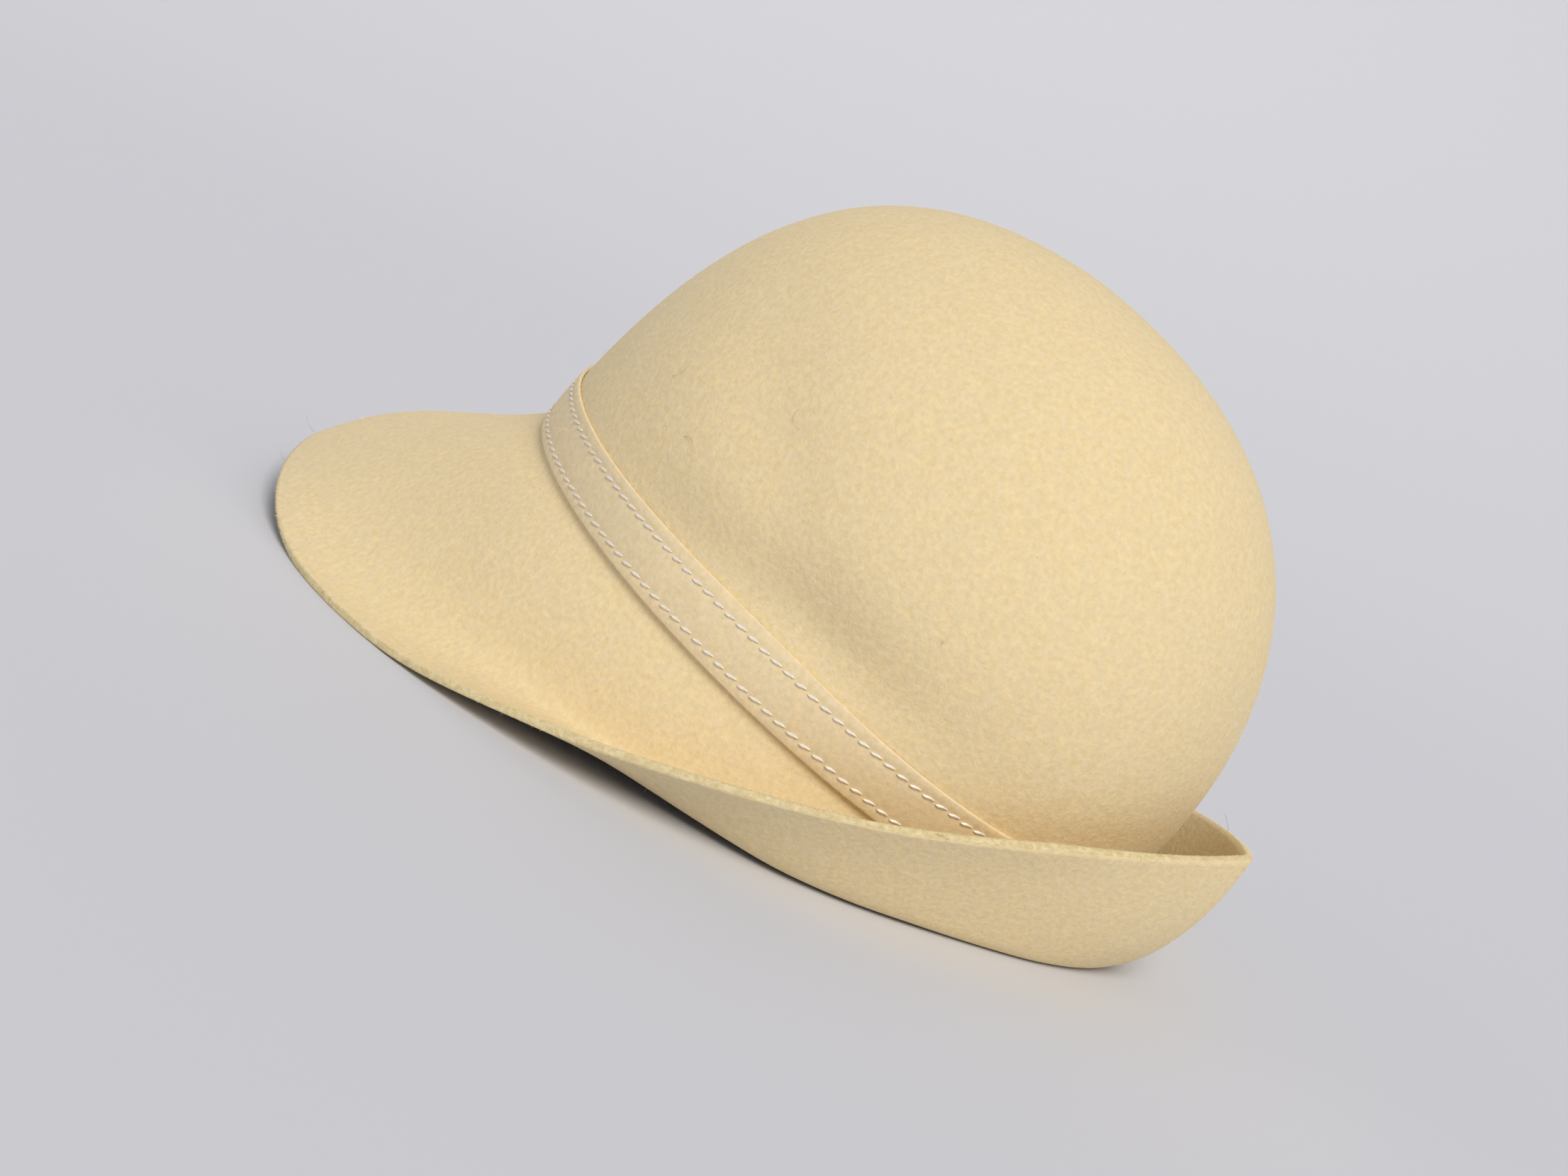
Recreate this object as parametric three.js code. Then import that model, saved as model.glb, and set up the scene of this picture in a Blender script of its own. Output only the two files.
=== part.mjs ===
// A felt cloche hat, standing by itself on its brim.
// The hood is one piece of blocked felt: a deep round crown, and a brim that falls into a peak at the
// front, rolls up along the sides and stands up round the back, where its edge is pinched to a corner.
// A felt band lies round the foot of the crown. Millimetres, +Z up, peak towards -Y, wearer's left +X.
import * as THREE from 'three';

// Head line: where crown and brim meet, measured inside the hat
const headLength = 196;
const headWidth = 163;
const sideLift = 5; // how much higher it runs over the ears than at front and back

const feltThickness = 2.2;

// Crown
const crownHeight = 123;
const crownTopBack = 6; // how far the top lies behind the middle of the head line

// Brim
const peakReach = 58; // how far the peak's edge stands out from the head line
const peakDrop = 54; // how far it hangs below the head line
const turnUp = 45; // how far the edge at the back stands above the head line
const rollSize = 30; // length of the brim's curves at the head line and at the edge
const pinchReach = 11; // how far the pinched corner at the back stands out
const pinchWidth = 22; // degrees round the hat in which the pinch fades to about a third

// Band
const bandWidth = 16.5;
const bandThickness = 1.4;
const bandLift = 2.5; // from the head line up to its lower edge
const bandGap = 0.3;

// Soft hollows in the crown over each ear: the deep one lies along the band, and a shallow fold runs
// down to it from the front. Each has its middle around degrees from the front and above mm over the
// band, fades within length degrees and width mm, and climbs by so many mm per degree to the back
const hollows = [
  { depth: 5, around: 102, length: 28, above: 6.5, width: 10.5, climb: 0.15 },
  { depth: 2.3, around: 82, length: 26, above: 35, width: 12, climb: -0.9 },
];

// Where the hat stands on a surface its felt is pressed flat: by how much, and the height over which
// it bends back up
const footFlat = 0.8;
const footBend = 2.5;

// Facets
const facetsAround = 72;
const crownRows = 14;
const rowCrowding = 1.4; // crown rows lie closer together towards the band
const brimRows = { aboveRoll: 4, roll: 5, belowEdge: 5 };
const rollShare = 0.26; // the share of the brim's width that the rows under the roll take

// The crown's curve from the head line to the top, in shares of crownHeight upwards and headWidth across
const crownSections = {
  front: { lean: -0.04, rise: 0.46, shoulder: 0.56 },
  side: { lean: 0.07, rise: 0.32, shoulder: 0.42 },
  back: { lean: 0.09, rise: 0.54, shoulder: 0.47 },
};

// The brim's curve from the head line to the edge, a row for every 30 degrees from front to back.
// reach is a share of peakReach, drop of peakDrop, rise of turnUp. leave and arrive are the directions,
// in degrees above level, in which it leaves the head line and ends at the edge. leaveHold and
// arriveHold are shares of rollSize, and say how long it keeps to them.
const brimSections = [
  { reach: 1.0, drop: 1.0, rise: 0, leave: -50, leaveHold: 1.03, arrive: -62, arriveHold: 0.85 },
  { reach: 0.88, drop: 1.0, rise: 0, leave: -45, leaveHold: 1.0, arrive: -48, arriveHold: 0.9 },
  { reach: 0.7, drop: 0.9, rise: 0, leave: -50, leaveHold: 1.0, arrive: -18, arriveHold: 0.95 },
  { reach: 0.5, drop: 0.43, rise: 0, leave: -61, leaveHold: 1.03, arrive: 15, arriveHold: 1.0 },
  { reach: 0.41, drop: 0, rise: 0.14, leave: -68, leaveHold: 1.1, arrive: 60, arriveHold: 1.02 },
  { reach: 0.25, drop: 0, rise: 0.62, leave: -70, leaveHold: 0.92, arrive: 76, arriveHold: 1.0 },
  { reach: 0.22, drop: 0, rise: 0.79, leave: -61, leaveHold: 0.75, arrive: 100, arriveHold: 1.17 },
];
const pinchRise = 0.21; // share of turnUp that the pinched corner adds

const up = new THREE.Vector3(0, 0, 1);
const sideways = new THREE.Vector3(1, 0, 0);

// A column of brimSections at any angle round the hat, alike on both sides, by a Catmull-Rom curve
function brimValue(column, around) {
  const last = brimSections.length - 1;
  const place = (Math.abs(around) / Math.PI) * last;
  const row = Math.min(Math.floor(place), last - 1);
  const part = place - row;
  const value = (k) => brimSections[k > last ? 2 * last - k : Math.abs(k)][column];
  const [a, b, c, d] = [value(row - 1), value(row), value(row + 1), value(row + 2)];
  const straight = (c - a) * part;
  const bent = (2 * a - 5 * b + 4 * c - d) * part ** 2 + (3 * b - a - 3 * c + d) * part ** 3;
  return b + (straight + bent) / 2;
}

// A column of crownSections at any angle round the hat
function crownValue(column, around) {
  const across = Math.sin(around) ** 2;
  const end = Math.cos(around) > 0 ? crownSections.front : crownSections.back;
  return crownSections.side[column] * across + end[column] * (1 - across);
}

function outwards(around) {
  return new THREE.Vector3(Math.sin(around), -Math.cos(around), 0);
}

// A point on the head line, in the middle of the felt
function headPoint(around) {
  const halfWidth = (headWidth + feltThickness) / 2;
  const halfLength = (headLength + feltThickness) / 2;
  const lift = sideLift * Math.sin(around) ** 2;
  return new THREE.Vector3(halfWidth * Math.sin(around), -halfLength * Math.cos(around), lift);
}

function crownCurve(around) {
  const foot = headPoint(around);
  const top = new THREE.Vector3(0, crownTopBack, crownHeight);
  const out = outwards(around);
  const wall = foot.clone().addScaledVector(out, crownValue('lean', around) * headWidth);
  wall.addScaledVector(up, crownValue('rise', around) * crownHeight);
  const shoulder = top.clone().addScaledVector(out, crownValue('shoulder', around) * headWidth);
  return new THREE.CubicBezierCurve3(foot, wall, shoulder, top);
}

function brimCurve(around) {
  const foot = headPoint(around);
  const out = outwards(around);
  const towards = (angle, hold) => {
    const radians = THREE.MathUtils.degToRad(angle);
    const direction = out.clone().multiplyScalar(Math.cos(radians)).setZ(Math.sin(radians));
    return direction.multiplyScalar(hold * rollSize);
  };
  const fromBack = THREE.MathUtils.radToDeg(Math.PI - Math.abs(around));
  const pinch = Math.exp(-fromBack / pinchWidth);
  const reach = brimValue('reach', around) * peakReach + pinch * pinchReach;
  const risen = (brimValue('rise', around) + pinch * pinchRise) * turnUp;
  const height = risen - brimValue('drop', around) * peakDrop;
  const edge = foot.clone().setZ(height).addScaledVector(out, reach);
  const leaving = towards(brimValue('leave', around), brimValue('leaveHold', around));
  const arriving = towards(brimValue('arrive', around), brimValue('arriveHold', around));
  return new THREE.CubicBezierCurve3(foot, leaving.add(foot), edge.clone().sub(arriving), edge);
}

// How deep the hollows are at a height over the band
function hollowAt(around, above) {
  const degrees = THREE.MathUtils.radToDeg(Math.abs(around));
  return hollows.reduce((total, hollow) => {
    const along = degrees - hollow.around;
    const across = above - hollow.above - hollow.climb * along;
    return total + hollow.depth * Math.exp(-((along / hollow.length) ** 2) - (across / hollow.width) ** 2);
  }, 0);
}

// Where rows lie on the brim, as shares of its width: those under the roll lie evenly about its lowest line
function brimShares(brim, tilt) {
  const heights = brim.getSpacedPoints(120).map((point) => point.applyAxisAngle(sideways, tilt).z);
  const lowest = heights.indexOf(Math.min(...heights)) / 120;
  const rollStart = Math.min(lowest, 0.6) - rollShare / 2;
  const rollEnd = rollStart + rollShare;
  const spread = (from, to, count) => {
    return Array.from({ length: count }, (_, k) => from + ((to - from) * (k + 1)) / count);
  };
  return [
    ...spread(0, rollStart, brimRows.aboveRoll),
    ...spread(rollStart, rollEnd, brimRows.roll),
    ...spread(rollEnd, 1, brimRows.belowEdge),
  ];
}

// The middle of the felt along one section, from the top of the crown to the edge of the brim
function feltSection(around, tilt) {
  const crown = crownCurve(around);
  crown.arcLengthDivisions = 400;
  const bandTop = bandLift + bandWidth;
  const crownLength = crown.getLength() - bandTop;
  const lengths = [];
  for (let row = 0; row < crownRows; row += 1) {
    lengths.push(bandTop + crownLength * (1 - row / crownRows) ** rowCrowding);
  }
  lengths.push(bandTop, bandLift + bandWidth / 2, bandLift, 0);
  const points = lengths.map((length) => {
    const point = crown.getPointAt(Math.min(length / crown.getLength(), 1));
    return point.addScaledVector(outwards(around), -hollowAt(around, length - bandTop));
  });
  const brim = brimCurve(around);
  brimShares(brim, tilt).forEach((share) => points.push(brim.getPointAt(share)));
  return points;
}

// The angle by which the hat leans back when it stands on its peak and on the back of its roll
function standingTilt(sections) {
  const lowest = (tilt, side) => {
    const heights = sections.flat().filter((point) => point.y * side > 0);
    return Math.min(...heights.map((point) => point.clone().applyAxisAngle(sideways, tilt).z));
  };
  let [low, high] = [-Math.PI / 4, Math.PI / 4];
  for (let step = 0; step < 40; step += 1) {
    const middle = (low + high) / 2;
    if (lowest(middle, -1) < lowest(middle, 1)) high = middle;
    else low = middle;
  }
  return (low + high) / 2;
}

function pressed(height) {
  if (height <= 0) return 0;
  return height < footBend ? height ** 2 / (2 * footBend) : height - footBend / 2;
}

// Turns the sections to stand on the surface at z = 0 and presses the felt that touches it flat
function standUp(sections, tilt) {
  const points = sections.flat();
  points.forEach((point) => point.applyAxisAngle(sideways, tilt));
  const floor = Math.min(...points.map((point) => point.z)) + footFlat;
  points.forEach((point) => point.setZ(pressed(point.z - floor) + feltThickness / 2));
}

// The felt's normal at each point of the sections, pointing out of the crown
function feltNormals(sections) {
  const count = sections.length;
  return sections.map((section, column) => section.map((point, row) => {
    if (row === 0) return up.clone();
    const nextColumn = sections[(column + 1) % count];
    const lastColumn = sections[(column + count - 1) % count];
    const around = nextColumn[row].clone().sub(lastColumn[row]);
    const before = section[row - 1];
    const after = section[Math.min(row + 1, section.length - 1)];
    const normal = around.cross(before.clone().sub(after)).normalize();
    const flat = point.z === feltThickness / 2;
    return flat ? new THREE.Vector3(0, 0, Math.sign(normal.z)) : normal;
  }));
}

// A closed mesh through columns of points that all have the same number of rows.
// ringed joins the last row to the first; otherwise the end rows are poles. The rows go down the outside
// and back up the inside, and both sides are split along the same diagonals to keep the wall's thickness.
function closedGeometry(columns, ringed) {
  const rows = columns[0].length;
  const positions = [];
  const index = [];
  const bodyRows = ringed ? rows : rows - 2;
  const firstRow = ringed ? 0 : 1;
  columns.forEach((column) => {
    column.slice(firstRow, firstRow + bodyRows).forEach((point) => positions.push(point.x, point.y, point.z));
  });
  const vertex = (column, row) => (column % columns.length) * bodyRows + (row % bodyRows);
  columns.forEach((_, column) => {
    for (let row = 0; row < (ringed ? bodyRows : bodyRows - 1); row += 1) {
      const [a, b] = [vertex(column, row), vertex(column + 1, row)];
      const [c, d] = [vertex(column, row + 1), vertex(column + 1, row + 1)];
      index.push(...(row < bodyRows / 2 ? [a, c, d, a, d, b] : [a, c, b, b, c, d]));
    }
  });
  if (!ringed) {
    const [first, last] = [columns[0][0], columns[0][rows - 1]];
    const pole = positions.length / 3;
    positions.push(first.x, first.y, first.z, last.x, last.y, last.z);
    columns.forEach((_, column) => {
      index.push(pole, vertex(column, 0), vertex(column + 1, 0));
      index.push(pole + 1, vertex(column + 1, bodyRows - 1), vertex(column, bodyRows - 1));
    });
  }
  const geometry = new THREE.BufferGeometry();
  geometry.setAttribute('position', new THREE.Float32BufferAttribute(positions, 3));
  geometry.setIndex(index);
  geometry.computeVertexNormals();
  return geometry;
}

const turns = Array.from({ length: facetsAround }, (_, column) => {
  const turn = (column / facetsAround) * 2 * Math.PI;
  return turn > Math.PI ? turn - 2 * Math.PI : turn;
});
const standing = standingTilt(turns.map((around) => feltSection(around, 0)));
const sections = turns.map((around) => feltSection(around, standing));
standUp(sections, standing);
const normals = feltNormals(sections);

// The point of the felt at that distance along its normal from the middle of the felt
function lifted(column, row, distance) {
  return sections[column][row].clone().addScaledVector(normals[column][row], distance);
}

function hoodGeometry() {
  const columns = sections.map((section, column) => {
    const outside = section.map((_, row) => lifted(column, row, feltThickness / 2));
    const inside = section.map((_, row) => lifted(column, row, -feltThickness / 2));
    return [...outside, ...inside.reverse()];
  });
  return closedGeometry(columns, false);
}

// The band lies on the outside of the felt, on the rows that mark its edges and its middle
function bandGeometry() {
  const bandRows = [crownRows, crownRows + 1, crownRows + 2];
  const inner = feltThickness / 2 + bandGap;
  const columns = sections.map((_, column) => {
    const face = bandRows.map((row) => lifted(column, row, inner + bandThickness));
    const back = bandRows.map((row) => lifted(column, row, inner));
    return [...face, ...back.reverse()];
  });
  return closedGeometry(columns, true);
}

const feltMaterial = new THREE.MeshStandardMaterial({ color: 0xe8d3a0, roughness: 0.95, metalness: 0 });
const bandMaterial = new THREE.MeshStandardMaterial({ color: 0xe6cf9f, roughness: 0.9, metalness: 0 });

const hood = new THREE.Mesh(hoodGeometry(), feltMaterial);
hood.name = 'felt_hood';
const band = new THREE.Mesh(bandGeometry(), bandMaterial);
band.name = 'felt_band';

// The middle of the outline, seen from above, is the origin
const hat = new THREE.Group();
hat.add(hood, band);
const middle = new THREE.Box3().setFromObject(hat).getCenter(new THREE.Vector3());
hat.position.set(-middle.x, -middle.y, 0);

export default hat;
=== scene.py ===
import bpy, bmesh, math, random
from mathutils import Matrix, Vector, Quaternion


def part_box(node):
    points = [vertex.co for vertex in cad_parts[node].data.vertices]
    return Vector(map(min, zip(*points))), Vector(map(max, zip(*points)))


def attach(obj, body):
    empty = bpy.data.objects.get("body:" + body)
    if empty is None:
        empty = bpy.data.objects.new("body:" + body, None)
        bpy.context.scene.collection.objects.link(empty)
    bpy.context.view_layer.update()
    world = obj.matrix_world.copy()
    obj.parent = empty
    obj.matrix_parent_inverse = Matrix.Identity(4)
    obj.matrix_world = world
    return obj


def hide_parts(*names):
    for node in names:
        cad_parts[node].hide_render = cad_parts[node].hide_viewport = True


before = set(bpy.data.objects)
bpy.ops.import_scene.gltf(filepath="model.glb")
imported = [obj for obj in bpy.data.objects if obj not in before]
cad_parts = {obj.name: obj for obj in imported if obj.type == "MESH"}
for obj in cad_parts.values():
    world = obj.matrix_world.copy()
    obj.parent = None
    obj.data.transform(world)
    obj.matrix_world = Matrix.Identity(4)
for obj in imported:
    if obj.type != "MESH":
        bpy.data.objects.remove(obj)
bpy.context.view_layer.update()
random.seed(7)
mm = 0.001


def only(*objects):  # selects these and nothing else
    if bpy.context.mode != "OBJECT":
        bpy.ops.object.mode_set(mode="OBJECT")
    bpy.ops.object.select_all(action="DESELECT")
    for o in objects:
        o.select_set(True)
    bpy.context.view_layer.objects.active = objects[0]


def applyAll(o):
    only(o)
    for m in list(o.modifiers):
        bpy.ops.object.modifier_apply(modifier=m.name)


def smoothOut(o):
    modifier = o.modifiers.new("smooth", "SUBSURF")
    modifier.levels = modifier.render_levels = 2
    applyAll(o)


def solidCopy(nodeName, newName):  # a merged copy of a solid, in four-sided faces
    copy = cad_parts[nodeName].copy()
    copy.data = copy.data.copy()
    copy.name = newName
    copy.parent = None
    copy.hide_render = copy.hide_viewport = False
    for key in list(copy.keys()):
        del copy[key]
    bpy.context.scene.collection.objects.link(copy)
    copy.data.materials.clear()
    only(copy)
    bpy.ops.object.mode_set(mode="EDIT")
    bpy.ops.mesh.select_all(action="SELECT")
    bpy.ops.mesh.remove_doubles(threshold=0.01 * mm)
    mostBend = math.radians(60)
    bpy.ops.mesh.tris_convert_to_quads(face_threshold=mostBend, shape_threshold=mostBend)
    bpy.ops.object.mode_set(mode="OBJECT")
    return copy


def hexColour(text):  # sRGB hex to the linear colour that shaders take
    parts = [int(text[i:i + 2], 16) / 255 for i in (0, 2, 4)]
    return [c / 12.92 if c <= 0.04045 else ((c + 0.055) / 1.055) ** 2.4 for c in parts] + [1]


def newMaterial(name, colour, roughness):
    material = bpy.data.materials.new(name)
    material.use_nodes = True
    shader = material.node_tree.nodes["Principled BSDF"]
    shader.inputs["Base Color"].default_value = hexColour(colour)
    shader.inputs["Roughness"].default_value = roughness
    return material, shader


def addNode(tree, kind, links=None, **settings):  # in_3 and in_Scale both set an input
    node = tree.nodes.new(kind)
    for name, value in settings.items():
        if name.startswith("in_"):
            key = name[3:]
            node.inputs[int(key) if key.isdigit() else key].default_value = value
        else:
            setattr(node, name, value)
    for key, source in (links or {}).items():
        tree.links.new(source, node.inputs[key])
    return node


def noise(tree, place, spotMm, detail, roughness):  # one light and one dark spot make a wave
    return addNode(tree, "ShaderNodeTexNoise", {"Vector": place}, in_Scale=1000 / spotMm / 2,
                   in_Detail=detail, in_Roughness=roughness).outputs["Fac"]


def remap(tree, source, start, end, toEnd, toStart=0):  # inputs 1 to 4: from min, max, to min, max
    return addNode(tree, "ShaderNodeMapRange", {"Value": source}, in_1=start, in_2=end,
                   in_3=toStart, in_4=toEnd).outputs["Result"]


mixA, mixB, mixOut = 6, 7, 2  # a Mix node's colour sockets: their names occur more than once


def tint(tree, under, over, share):  # what lies under is a colour or another node's output
    mix = addNode(tree, "ShaderNodeMix", {"Factor": share}, data_type="RGBA")
    if isinstance(under, str):
        mix.inputs[mixA].default_value = hexColour(under)
    else:
        tree.links.new(under, mix.inputs[mixA])
    mix.inputs[mixB].default_value = hexColour(over)
    return mix.outputs[mixOut]


# Wool felt blocked in steam: matt, with a short raised nap that gives a pale bloom at glancing
# angles. Matted fibres show as a grain finer than a millimetre, tufts as a soft mottle of one or
# two, in which the wool turns from yellow to grey more than from light to dark.
feltLooks = {
    "wool": "F2DDAD",
    "woolShade": "EBD9B3",
    "woolWarm": "F4DCAC",
    "woolCool": "ECDCB5",
    "grainShade": "E3CE9F",
    "fleckColour": "A3906A",
    # Each noise: size of a spot in mm, detail, roughness
    "cloud": (18, 3, 0.5),
    "mottle": (1.3, 1, 0.5),
    "grain": (0.75, 3, 0.6),
    "fleck": (1.7, 2, 0.4),
    "lumps": (2.4, 1, 0.5),
    # Each colour: the noise where it begins, the noise where it is full, how much it covers there
    "warmSpan": (0.46, 0.68, 0.8),
    "coolSpan": (0.5, 0.3, 0.7),
    "mottleSpan": (0.34, 0.66, 1),
    "grainSpan": (0.68, 0.3, 1),
    "fleckSpan": (0.77, 0.82, 0.45),
    "relief": 1,  # scales both bumps: pressed felt has less
    "grainBump": 0.75,
    "grainHeightMm": 0.32,
    "lumpBump": 0.4,
    "lumpHeightMm": 0.22,
    "roughness": 0.93,
    "specular": 0.12,
    "sheen": 0.2,
    "sheenRoughness": 0.55,
    "sheenTint": "FFF4D8",
}
# The band's felt is paler than the hood's. This is partly because pressed felt is smoother, and
# partly painted light: the paler colour makes up for the shade the band lies in at the crown's
# foot.
pressedPaintedLightLooks = dict(feltLooks, wool="F7E2B6", woolShade="EFDFBC", woolWarm="F8E0B3",
                    grainShade="E6D2A8", relief=0.6)
# A cut edge shows the paler, closer inside of the felt
cutLooks = dict(feltLooks, wool="EEE0B6", woolShade="E2D3A6", woolWarm="ECDCAE",
                grainShade="CDBB8B", relief=1.3)


def woolFelt(name, looks):
    material, shader = newMaterial(name, looks["wool"], looks["roughness"])
    tree = material.node_tree
    place = addNode(tree, "ShaderNodeTexCoord").outputs["Object"]
    cloud, mottle, grain, fleck, lumps = [
        noise(tree, place, *looks[key]) for key in ("cloud", "mottle", "grain", "fleck", "lumps")]
    colour = looks["wool"]
    for over, source, span in (
            ("woolWarm", cloud, "warmSpan"), ("woolCool", cloud, "coolSpan"),
            ("woolShade", mottle, "mottleSpan"), ("grainShade", grain, "grainSpan"),
            ("fleckColour", fleck, "fleckSpan")):
        colour = tint(tree, colour, looks[over], remap(tree, source, *looks[span]))
    tree.links.new(colour, shader.inputs["Base Color"])
    fine = addNode(tree, "ShaderNodeBump", {"Height": grain},
                   in_Strength=looks["grainBump"] * looks["relief"],
                   in_Distance=looks["grainHeightMm"] * mm)
    soft = addNode(tree, "ShaderNodeBump", {"Height": lumps, "Normal": fine.outputs["Normal"]},
                   in_Strength=looks["lumpBump"] * looks["relief"],
                   in_Distance=looks["lumpHeightMm"] * mm)
    tree.links.new(soft.outputs["Normal"], shader.inputs["Normal"])
    shader.inputs["Specular IOR Level"].default_value = looks["specular"]
    shader.inputs["Sheen Weight"].default_value = looks["sheen"]
    shader.inputs["Sheen Roughness"].default_value = looks["sheenRoughness"]
    shader.inputs["Sheen Tint"].default_value = hexColour(looks["sheenTint"])
    return material


hoodFelt = woolFelt("blocked_wool_felt", feltLooks)
bandFelt = woolFelt("pressed_wool_felt_with_painted_light", pressedPaintedLightLooks)
cutFelt = woolFelt("cut_felt_edge", cutLooks)
print("materials done")

# The hood: crown and brim in one blocked felt
hoodLooks = {
    # The rim's faces are as narrow as the felt is thick and have a sharp edge, and so have a few
    # in the depth of the fold under the turn-up
    "narrowMm": 2.4,
    "sharpDegrees": 60,
    "edgeCrease": 0.75,
    "pinchCrease": 0.6,
    "pinchFrom": 0.128,  # y in metres behind which the pinched corner is folded
    "wanderMm": 0.5,  # by how much the blocked felt is uneven
    "wanderAcrossMm": 38,
    "lowest": 0.00003,  # z in metres: it stands on the floor, not in it
}
hood = solidCopy("felt_hood", "blocked_hood")
hood.data.materials.append(hoodFelt)
hood.data.materials.append(cutFelt)

mesh = bmesh.new()
mesh.from_mesh(hood.data)
sharp = math.radians(hoodLooks["sharpDegrees"])
rimFaces = [f for f in mesh.faces if len(f.verts) == 4
            and min(e.calc_length() for e in f.edges) < hoodLooks["narrowMm"] * mm
            and max(abs(e.calc_face_angle(0)) for e in f.edges) > sharp]
creases = mesh.edges.layers.float.get("crease_edge") or mesh.edges.layers.float.new("crease_edge")
for f in rimFaces:
    f.material_index = 1
    for e in f.edges:
        if abs(e.calc_face_angle(0)) > sharp:
            e[creases] = hoodLooks["edgeCrease"]
for e in mesh.edges:
    if all(abs(v.co.x) < 0.01 * mm and v.co.y > hoodLooks["pinchFrom"] for v in e.verts):
        e[creases] = max(e[creases], hoodLooks["pinchCrease"])
mesh.to_mesh(hood.data)
mesh.free()
print("rim faces", len(rimFaces))

smoothOut(hood)
unevenness = bpy.data.textures.new("unevenness", "CLOUDS")
unevenness.noise_scale = hoodLooks["wanderAcrossMm"] * mm
unevenness.noise_depth = 1
wander = hood.modifiers.new("wander", "DISPLACE")
wander.texture = unevenness
wander.texture_coords = "LOCAL"
wander.strength = hoodLooks["wanderMm"] * mm
wander.mid_level = 0.5
applyAll(hood)
for v in hood.data.vertices:
    v.co.z = max(v.co.z, hoodLooks["lowest"])
bpy.ops.object.shade_smooth()
print("hood done", len(hood.data.polygons))

# The band: a felt strip, drawn in along its two rows of stitching
bandLooks = {
    "widthMm": 16.5,
    "rowInsetMm": 3,  # from the strip's edge to each row of stitches
    "grooveMm": 0.4,
    "grooveHalfWidthMm": 1.2,
    "tuckMm": 0.3,  # how much closer to the crown the sewn strip lies than the loose one
    "edgeTaperMm": 0.35,  # how much thinner it is along its edges
    "edgeRoundMm": 0.4,
    "cornerDegrees": 50,
    "onRowMm": 0.35,  # a vertex is on a row of stitches within this
    "nearRowMm": 5,  # and the middle of an edge within this
}
bandAxis = Vector((0, 0.23, 0.973))  # square to the head line, which leans back as the hat stands
low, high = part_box("felt_band")
bandMiddle = (low + high) / 2


def middleOf(edge):
    return (edge.verts[0].co + edge.verts[1].co) / 2


def alongBand(edge):  # runs round the hat rather than across the strip
    run = edge.verts[1].co - edge.verts[0].co
    ring = bandAxis.cross(middleOf(edge) - bandMiddle)
    return abs(run.normalized().dot(ring.normalized())) > 0.7


def isCorner(edge):
    return edge.calc_face_angle(0) > math.radians(bandLooks["cornerDegrees"])


def isOuterMiddle(edge):
    touchesCorner = any(isCorner(e) for v in edge.verts for e in v.link_edges)
    if touchesCorner or not alongBand(edge):
        return False
    return edge.link_faces[0].normal.dot(middleOf(edge) - bandMiddle) > 0


def pickEdges(o, test):  # edit mode: selects the edges that pass the test
    bpy.ops.mesh.select_mode(type="EDGE")
    bpy.ops.mesh.select_all(action="DESELECT")
    cage = bmesh.from_edit_mesh(o.data)
    for e in cage.edges:
        if test(e):
            e.select_set(True)
    bmesh.update_edit_mesh(o.data)
    return cage


def bevelEdges(widthMm, segments):
    bpy.ops.mesh.bevel(offset=widthMm * mm, segments=segments, affect="EDGES",
                       clamp_overlap=False)


band = solidCopy("felt_band", "stitched_band")
band.data.materials.append(bandFelt)
for v in band.data.vertices:
    away = v.co - bandMiddle
    away = (away - away.project(bandAxis)).normalized()
    isOuterCorner = v.normal.dot(away) > 0.3 and abs(v.normal.dot(bandAxis)) > 0.4
    taper = bandLooks["edgeTaperMm"] if isOuterCorner else 0
    v.co -= away * (bandLooks["tuckMm"] + taper) * mm
only(band)
bpy.ops.object.mode_set(mode="EDIT")
pickEdges(band, isOuterMiddle)
bevelEdges(bandLooks["widthMm"] / 2 - bandLooks["rowInsetMm"], 1)
cage = pickEdges(band, isOuterMiddle)


def ringOfVerts(verts):  # the verts in order round the hat
    def turn(v):
        away = v.co - bandMiddle
        return math.atan2(away.x, -away.y)
    return [v.co.copy() for v in sorted(verts, key=turn)]


rowVerts = {v for e in cage.edges if e.select for v in e.verts}
upper, lower = [], []
for v in rowVerts:
    for e in v.link_edges:
        mate = e.other_vert(v)
        if mate in rowVerts and not alongBand(e):
            (upper if (v.co - mate.co).dot(bandAxis) > 0 else lower).append(v)
stitchRows = {"upper": ringOfVerts(upper), "lower": ringOfVerts(lower)}
rowPoints = stitchRows["upper"] + stitchRows["lower"]
print("stitch rows", len(stitchRows["upper"]), len(stitchRows["lower"]))


def toRow(place):  # distance to the nearest point of a row
    return min((p - place).length for p in rowPoints)


def isGroove(edge):  # the middle line of a groove, where the thread lies
    return (alongBand(edge) and not isCorner(edge)
            and toRow(middleOf(edge)) < bandLooks["nearRowMm"] * mm
            and all(toRow(v.co) < bandLooks["onRowMm"] * mm for v in edge.verts))


bevelEdges(bandLooks["grooveHalfWidthMm"], 2)
pickEdges(band, isGroove)
bpy.ops.transform.shrink_fatten(value=-bandLooks["grooveMm"] * mm)
pickEdges(band, isCorner)
bevelEdges(bandLooks["edgeRoundMm"], 2)
smoothOut(band)
bpy.ops.object.shade_smooth()
print("band done", len(band.data.polygons))

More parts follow.
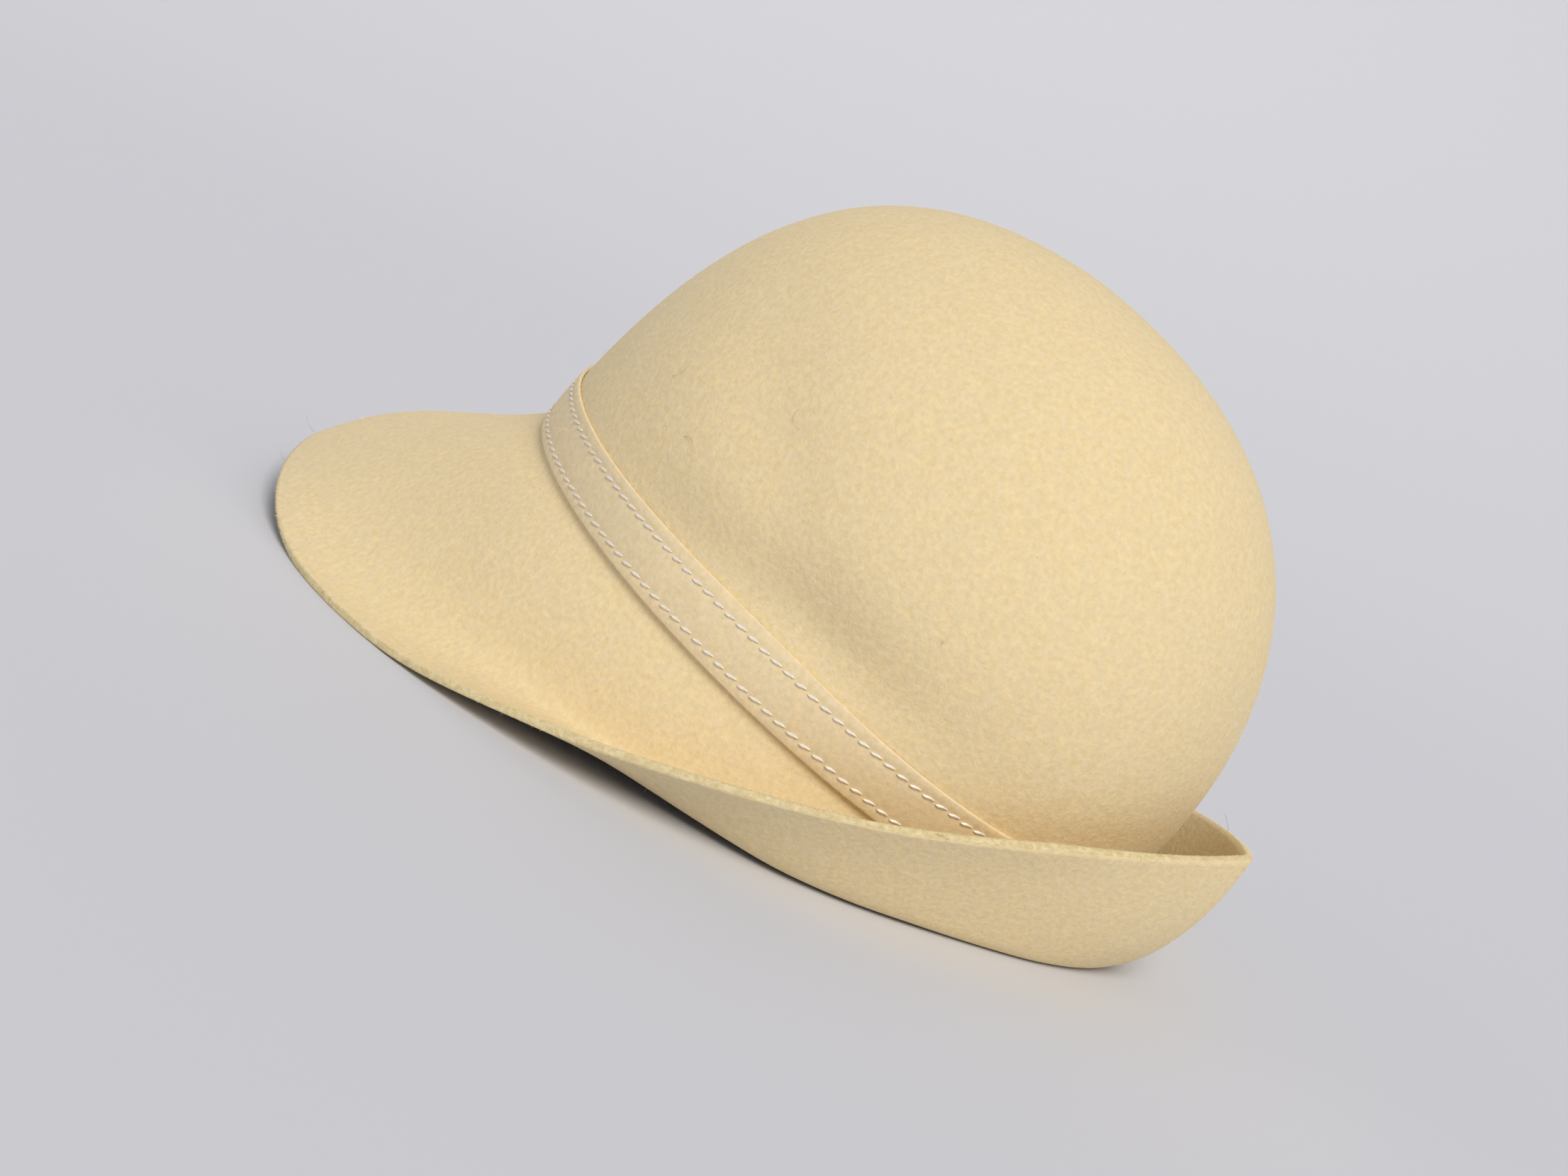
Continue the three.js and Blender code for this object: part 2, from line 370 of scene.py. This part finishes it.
# Thread: bright polyester with a silky gloss that glints along each stitch. A stitch is one
# flattened body with a twist, which reads as two plies.
threadLooks = {
    "colour": "F2ECE4",
    "roughness": 0.3,
    "leastRoughness": 0.2,
    "mostRoughness": 0.42,
    "spot": (0.15, 2, 0.5),
    "specular": 1.0,
    "coat": 0.8,
    "coatRoughness": 0.15,
    "pitchMm": 4.0,
    "lengthMm": 3.35,
    "threadMm": 0.7,
    "wide": 1.25,  # width and height as shares of the thread's thickness
    "flat": 0.8,
    "twistDegrees": 200,
    "slantDegrees": 12,
    "standMm": 0.2,  # how high its middle lies above the bottom of the groove
    # How much the stitches vary
    "slantSpreadDegrees": 2.5,
    "lengthSpread": (0.94, 1.05),
    "driftMm": 0.08,
}
threadSkin, shader = newMaterial("bright_polyester_thread", threadLooks["colour"],
                                 threadLooks["roughness"])
tree = threadSkin.node_tree
place = addNode(tree, "ShaderNodeTexCoord").outputs["Object"]
gloss = remap(tree, noise(tree, place, *threadLooks["spot"]), 0, 1,
              threadLooks["mostRoughness"], threadLooks["leastRoughness"])
tree.links.new(gloss, shader.inputs["Roughness"])
shader.inputs["Specular IOR Level"].default_value = threadLooks["specular"]
shader.inputs["Coat Weight"].default_value = threadLooks["coat"]
shader.inputs["Coat Roughness"].default_value = threadLooks["coatRoughness"]

bpy.ops.object.select_all(action="DESELECT")
bpy.ops.mesh.primitive_uv_sphere_add(segments=8, ring_count=8, radius=0.5)
stitch = bpy.context.object
stitch.name = "stitch"
stitch.scale = (threadLooks["threadMm"] * threadLooks["wide"] * mm,
                threadLooks["threadMm"] * threadLooks["flat"] * mm,
                threadLooks["lengthMm"] * mm)
bpy.ops.object.transform_apply(location=False, rotation=False, scale=True)
ply = stitch.modifiers.new("ply", "SIMPLE_DEFORM")
ply.deform_method = "TWIST"
ply.deform_axis = "Z"
ply.angle = math.radians(threadLooks["twistDegrees"])
applyAll(stitch)
stitch.data.materials.append(threadSkin)
bpy.ops.object.shade_smooth()


def pointOn(ring, distance):  # place and direction at a distance along a closed ring
    for i, a in enumerate(ring):
        b = ring[(i + 1) % len(ring)]
        length = (b - a).length
        if distance <= length:
            return a.lerp(b, distance / length), (b - a).normalized(), i
        distance -= length
    return ring[0], (ring[1] - ring[0]).normalized(), 0


def sewRow(name):
    ring = stitchRows[name]
    total = sum((ring[(i + 1) % len(ring)] - ring[i]).length for i in range(len(ring)))
    count = round(total / (threadLooks["pitchMm"] * mm))
    spread, drift = threadLooks["slantSpreadDegrees"], threadLooks["driftMm"]
    made = []
    for k in range(count):
        place, run, i = pointOn(ring, total * (k + 0.5) / count)
        across = (stitchRows["upper"][i] - stitchRows["lower"][i]).normalized()
        out = run.cross(across).normalized()
        if out.dot(place - bandMiddle) < 0:
            out = -out
        across = out.cross(run)
        facing = Matrix((across, out, run)).transposed().to_4x4()
        degrees = threadLooks["slantDegrees"] + random.uniform(-spread, spread)
        slant = Matrix.Rotation(math.radians(degrees), 4, out)
        size = Matrix.Diagonal((1, 1, random.uniform(*threadLooks["lengthSpread"]), 1))
        place = (place + out * (threadLooks["standMm"] - bandLooks["grooveMm"]) * mm
                 + across * random.uniform(-drift, drift) * mm)
        one = bpy.data.objects.new("stitch", stitch.data.copy())
        bpy.context.scene.collection.objects.link(one)
        one.matrix_world = Matrix.Translation(place) @ slant @ facing @ size
        made.append(one)
    return made


stitches = sewRow("upper") + sewRow("lower")
print("stitches", len(stitches))
only(*stitches)
bpy.ops.object.join()
sewing = bpy.context.object
sewing.name = "band_stitches"
bpy.ops.object.transform_apply(location=True, rotation=True, scale=True)
bpy.data.objects.remove(stitch)

# Loose wool: short fibres stand off the felt, closest together along the brim's cut edge, and a
# few long coarse ones have worked out of it
fibreLooks = {
    "wool": "F2E2BC",
    "roughness": 0.8,
    "thicknessMm": 0.09,  # real wool is a third of that, too fine to show
    "napCount": 6500,
    "edgeCount": 6000,
    "napMm": (0.5, 1.5),
    "edgeMm": (0.3, 0.9),
    "leanDegrees": 70,
    "bend": 0.3,
    "rootMm": 0.05,  # how deep a fibre starts in the felt
    "clearMm": 1.6,  # no fibre starts lower than this above the floor
}
coarseLooks = {
    "wool": "B5A27C",
    "roughness": 0.6,
    "count": 26,
    "lengthMm": (5, 13),
    "bow": (1, 2.6),  # radians through which it curves
    "rise": (0.03, 0.12),  # how high its middle stands off the felt, as a share of its length
    "thick": 0.65,  # its half thickness at the root, in thicknesses of a short fibre
    "taper": 0.4,
    "steps": 8,
    "clearMm": 0.5,
}


def spotsOn(o, slotIndex, count):  # random places on one material, with the felt's normal there
    faces = [f for f in o.data.polygons if f.material_index == slotIndex]
    chosen = random.choices(faces, weights=[f.area for f in faces], k=count)
    found = []
    for f in chosen:
        corners = [o.data.vertices[i].co for i in f.vertices]
        shares = [random.random() for _ in corners]
        spot = sum((c * (w / sum(shares)) for c, w in zip(corners, shares)), Vector())
        if spot.z > fibreLooks["clearMm"] * mm:
            found.append((spot, f.normal.copy()))
    return found


def leaning(normal, mostDegrees):
    side = normal.orthogonal().normalized()
    side.rotate(Quaternion(normal, random.uniform(0, 2 * math.pi)))
    lean = math.radians(random.uniform(0.2, 1) * mostDegrees)
    return (normal * math.cos(lean) + side * math.sin(lean)).normalized(), side


# A short fibre's pattern: a thin cone with one more row of corners halfway up, so that it can bend
bpy.ops.object.select_all(action="DESELECT")
bpy.ops.mesh.primitive_cone_add(vertices=3, radius1=0.5, radius2=0, depth=1, location=(0, 0, 0.5))
fibre = bpy.context.object
bpy.ops.object.transform_apply(location=True, rotation=False, scale=False)
bpy.ops.object.mode_set(mode="EDIT")
pickEdges(fibre, lambda e: abs(e.verts[0].co.z - e.verts[1].co.z) > 0.5)
bpy.ops.mesh.subdivide(number_cuts=1)
bpy.ops.object.mode_set(mode="OBJECT")
fibreCorners = [v.co.copy() for v in fibre.data.vertices]
fibreFaces = [tuple(f.vertices) for f in fibre.data.polygons]
bpy.data.objects.remove(fibre)

corners, faces = [], []
thickness, root = fibreLooks["thicknessMm"], fibreLooks["rootMm"] * mm
bodySpots = spotsOn(hood, 0, fibreLooks["napCount"])
bodySpots += spotsOn(band, 0, fibreLooks["napCount"] // 8)
edgeSpots = spotsOn(hood, 1, fibreLooks["edgeCount"])
for k, (spot, normal) in enumerate(bodySpots + edgeSpots):
    direction, side = leaning(normal, fibreLooks["leanDegrees"])
    length = random.uniform(*fibreLooks["napMm" if k < len(bodySpots) else "edgeMm"]) * mm
    bend = side * random.uniform(-fibreLooks["bend"], fibreLooks["bend"]) * length
    turned = direction.to_track_quat("Z", "Y")
    first = len(corners)
    for c in fibreCorners:
        across = turned @ Vector((c.x, c.y, 0)) * thickness * mm
        up = direction * (c.z * length - root)
        corners.append(spot + across + up + bend * math.sin(math.pi * c.z))
    faces += [tuple(first + i for i in f) for f in fibreFaces]
softCount = len(faces)

# The coarse ones lie along the felt in loose arcs
steps = coarseLooks["steps"]
coarseSpots = spotsOn(hood, 1, coarseLooks["count"] // 2)
coarseSpots += spotsOn(hood, 0, coarseLooks["count"] // 2)
for spot, normal in coarseSpots:
    direction, side = leaning(normal, 90)
    along = normal.cross(side)
    length = random.uniform(*coarseLooks["lengthMm"]) * mm
    bow = random.uniform(*coarseLooks["bow"]) * random.choice((-1, 1))
    rise = random.uniform(*coarseLooks["rise"]) * length
    path = []
    for k in range(steps + 1):
        turn = bow * k / steps
        arc = length * (side * math.sin(turn) + along * (1 - math.cos(turn))) / bow
        path.append(spot + normal * (rise * math.sin(math.pi * k / steps) - root) + arc)
    if min(p.z for p in path) < coarseLooks["clearMm"] * mm:
        continue
    first = len(corners)
    for k, p in enumerate(path):
        ahead = (path[min(k + 1, steps)] - path[max(k - 1, 0)]).to_track_quat("Z", "Y")
        thick = thickness * (coarseLooks["thick"] - coarseLooks["taper"] * k / steps) * mm
        for j in range(3):
            turn = 2 * math.pi * j / 3
            corners.append(p + ahead @ Vector((math.cos(turn), math.sin(turn), 0)) * thick)
    for k in range(steps):
        a, b = first + 3 * k, first + 3 * k + 3
        faces += [(a + j, a + (j + 1) % 3, b + (j + 1) % 3, b + j) for j in range(3)]
    faces += [(first + 2, first + 1, first), tuple(first + 3 * steps + j for j in range(3))]
napMesh = bpy.data.meshes.new("loose_wool_fibres")
napMesh.from_pydata([tuple(c) for c in corners], [], faces)
nap = bpy.data.objects.new("loose_wool_fibres", napMesh)
bpy.context.scene.collection.objects.link(nap)
for name, looks in (("loose_wool_fibre", fibreLooks), ("coarse_wool_fibre", coarseLooks)):
    napMesh.materials.append(newMaterial(name, looks["wool"], looks["roughness"])[0])
for f in napMesh.polygons:
    f.material_index = 0 if f.index < softCount else 1
print("loose fibres", len(bodySpots) + len(edgeSpots))

for piece, node, slotName in ((hood, "felt_hood", "felt"), (band, "felt_band", "band_felt")):
    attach(piece, "root")
    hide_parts(node)
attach(sewing, "root")
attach(nap, "root")

# Studio: a pale paper floor that rises all round in one long curve, and soft light from a big
# window
studio = {
    "paper": "D3D5DC",
    "paperRoughness": 0.95,
    "paperSpecular": 0.1,
    "floorRadius": 0.55,
    "sweepRadius": 1.9,
    "sweepSteps": 12,
    "sweepDegrees": 56,
    "worldColour": "E9EEF8",
    "worldStrength": 0.31,
}
bpy.ops.object.select_all(action="DESELECT")
bpy.ops.mesh.primitive_circle_add(vertices=96, radius=studio["floorRadius"], fill_type="NGON")
floor = bpy.context.object
floor.name = "paper_floor"
bpy.ops.object.mode_set(mode="EDIT")
bpy.ops.mesh.select_all(action="SELECT")
bpy.ops.mesh.region_to_loop()
radius, height = studio["floorRadius"], 0
for step in range(1, studio["sweepSteps"] + 1):
    angle = math.radians(studio["sweepDegrees"] * step / studio["sweepSteps"])
    nextRadius = studio["floorRadius"] + studio["sweepRadius"] * math.sin(angle)
    nextHeight = studio["sweepRadius"] * (1 - math.cos(angle))
    lift = (0, 0, nextHeight - height)
    bpy.ops.mesh.extrude_edges_move(TRANSFORM_OT_translate={"value": lift})
    bpy.ops.transform.resize(value=(nextRadius / radius, nextRadius / radius, 1))
    radius, height = nextRadius, nextHeight
bpy.ops.object.mode_set(mode="OBJECT")
bpy.ops.object.shade_smooth_by_angle(angle=math.radians(30))
paper, shader = newMaterial("matt_background_paper", studio["paper"], studio["paperRoughness"])
shader.inputs["Specular IOR Level"].default_value = studio["paperSpecular"]
floor.data.materials.append(paper)

# Each light: where it comes from, strength, apparent width in degrees, colour
lights = {
    "window": ((0.48, 0.5, 0.72), 2.25, 30, "FFF8EE"),
    "fill": ((0.5, -0.6, 0.6), 0.2, 50, "F8F8FF"),
    "back": ((-0.75, -0.25, 0.55), 0.5, 60, "F8F8FF"),
}
for name, (source, strength, widthDegrees, colour) in lights.items():
    data = bpy.data.lights.new(name, "SUN")
    data.energy = strength
    data.angle = math.radians(widthDegrees)
    data.color = hexColour(colour)[:3]
    light = bpy.data.objects.new(name, data)
    bpy.context.scene.collection.objects.link(light)
    light.location = Vector(source) * 1.5
    light.rotation_euler = (-Vector(source)).to_track_quat("-Z", "Y").to_euler()
world = bpy.data.worlds.new("daylight")
bpy.context.scene.world = world
world.use_nodes = True
sky = world.node_tree.nodes["Background"]
sky.inputs["Color"].default_value = hexColour(studio["worldColour"])
sky.inputs["Strength"].default_value = studio["worldStrength"]

# The camera stands where the photographer stood, a little above the floor and turned about its
# axis
cameraLooks = {
    "place": (0.555, 0.2864, 0.1784),
    "aim": (0.0347, 0.0175, 0.0482),
    "rollDegrees": 26.2,
    "lensMm": 53.7,
    "nearest": 0.01,
}
camera = bpy.data.objects.new("camera", bpy.data.cameras.new("camera"))
bpy.context.scene.collection.objects.link(camera)
camera.data.lens = cameraLooks["lensMm"]
camera.data.clip_start = cameraLooks["nearest"]
camera.location = cameraLooks["place"]
looking = (Vector(cameraLooks["aim"]) - camera.location).to_track_quat("-Z", "Y")
roll = Quaternion((0, 0, 1), math.radians(cameraLooks["rollDegrees"]))
camera.rotation_mode = "QUATERNION"
camera.rotation_quaternion = looking @ roll
bpy.context.scene.camera = camera
bpy.context.scene.view_settings.view_transform = "Standard"  # keeps the wool's pale yellow true
print("studio done")
